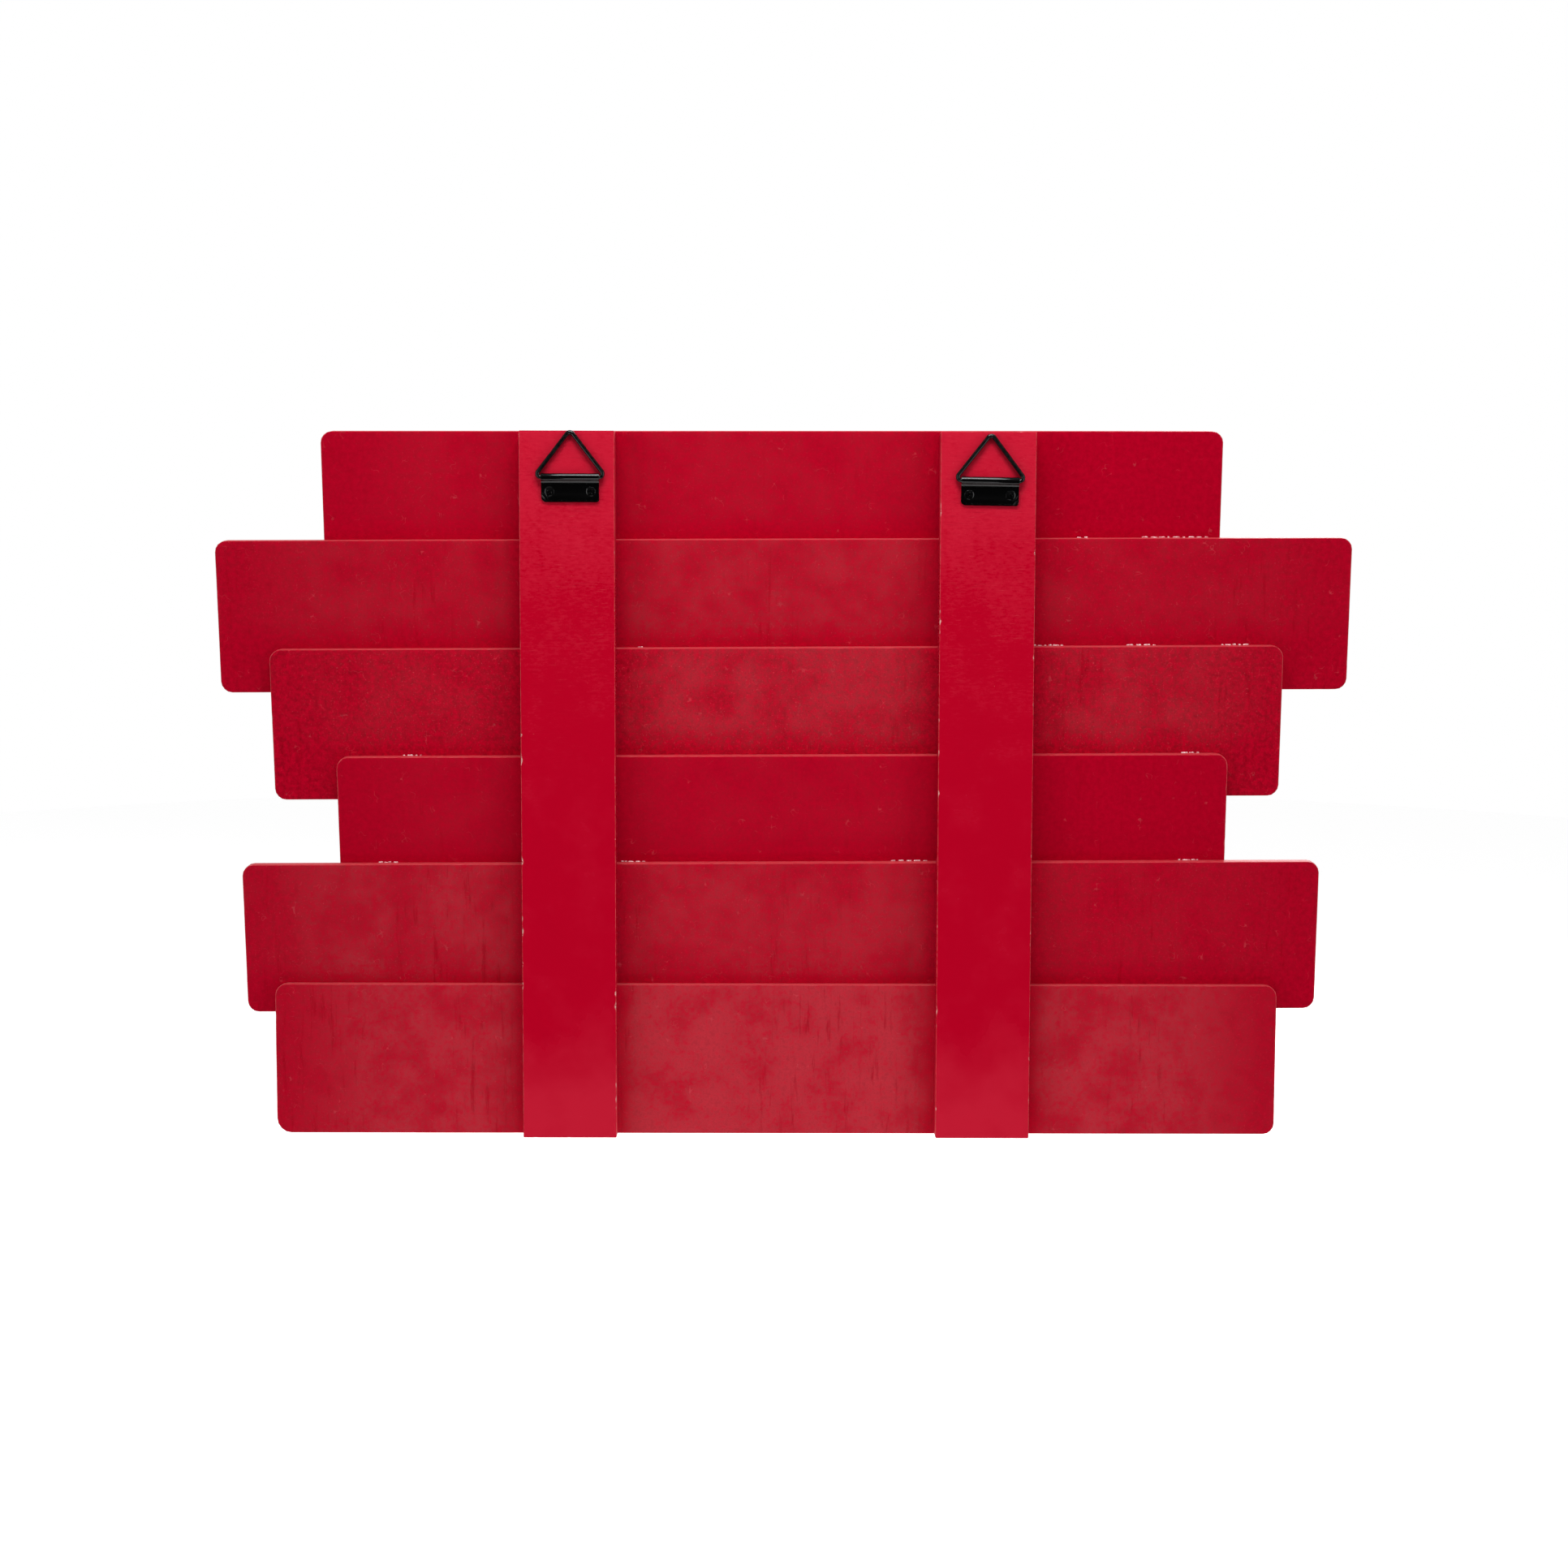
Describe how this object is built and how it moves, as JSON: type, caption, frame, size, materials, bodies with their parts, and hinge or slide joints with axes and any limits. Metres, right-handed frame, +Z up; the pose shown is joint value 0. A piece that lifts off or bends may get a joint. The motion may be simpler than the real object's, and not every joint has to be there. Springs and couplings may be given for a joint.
{
  "type": "wall plaque",
  "caption": "Wall plaque of lapped painted boards with rounded corners, glued to flat battens and hung by swinging wire triangle hangers.",
  "frame": {"origin": "midway between the two hanging points, in the plane of the battens' wall faces", "axes": "+Z up, -Y out of the battens' wall faces towards the wall, +X to the right as seen from the wall side"},
  "size_m": [0.61, 0.0311, 0.3819],
  "materials": {
    "painted_board": "matt red paint on fibreboard, slightly fibrous",
    "painted_batten": "satin red paint on smooth wood with worn arrises",
    "glue": "clear glossy set glue, tinted by the red paint",
    "black_steel": "black lacquered steel, semi-gloss, scuffed at the folds",
    "black_screw": "black oxide steel with rubbed edges"
  },
  "bodies": {
    "plaque": {"board_1_top": "painted_board", "board_2": "painted_board", "board_3": "painted_board", "board_4": "painted_board", "board_5": "painted_board", "board_6_bottom": "painted_board", "batten_left": "painted_batten", "batten_right": "painted_batten", "lap_glue_1": "glue", "lap_glue_2": "glue", "lap_glue_3": "glue", "lap_glue_4": "glue", "lap_glue_5": "glue", "batten_glue_left": "glue", "batten_glue_right": "glue", "hanger_strap_left": "black_steel", "hanger_strap_right": "black_steel", "screw_left_outer": "black_screw", "screw_left_inner": "black_screw", "screw_right_inner": "black_screw", "screw_right_outer": "black_screw"},
    "left_ring": {"hanger_ring_left": "black_steel"},
    "right_ring": {"hanger_ring_right": "black_steel"}
  },
  "joints": [
    {"name": "left_ring_swing", "type": "hinge", "parent": "plaque", "child": "left_ring", "pos_m": [-0.11115, -0.002, -0.0217], "axis": [1, 0, 0], "range_deg": [0, 165]},
    {"name": "right_ring_swing", "type": "hinge", "parent": "plaque", "child": "right_ring", "pos_m": [0.11115, -0.002, -0.023], "axis": [0.9999, 0, -0.014], "range_deg": [0, 165]}
  ]
}
